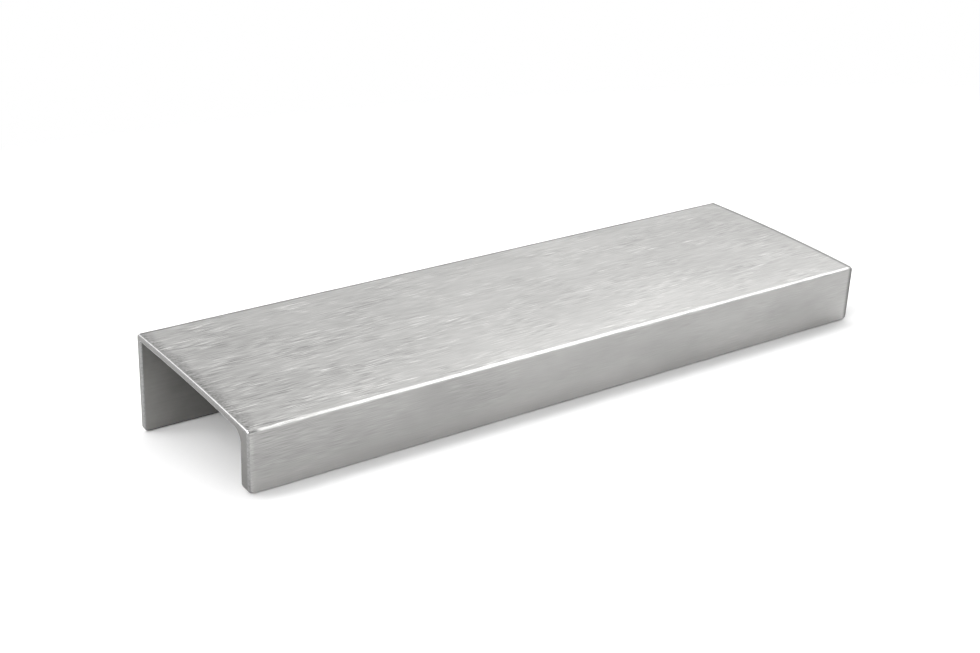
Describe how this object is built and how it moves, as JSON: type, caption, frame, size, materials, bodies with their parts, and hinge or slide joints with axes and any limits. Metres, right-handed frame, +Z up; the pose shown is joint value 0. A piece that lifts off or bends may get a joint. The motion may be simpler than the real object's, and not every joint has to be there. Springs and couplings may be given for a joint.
{
  "type": "furniture edge pull handle",
  "caption": "Edge pull for a drawer or door front: a brushed metal channel with a wide, slightly crowned top, a tall screw-on back leg and a short thick grip lip.",
  "frame": {"origin": "middle of the line of screw holes, on the back leg's inner face, which seats on the furniture front", "axes": "+X runs along the handle, +Y points from the grip lip to the back leg, +Z points up through the top plate"},
  "size_m": [0.15, 0.0465, 0.0218],
  "materials": {
    "brushed_metal": "brushed along the length to a stainless look, satin"
  },
  "bodies": {
    "root": {"handle_profile": "brushed_metal"}
  },
  "joints": []
}
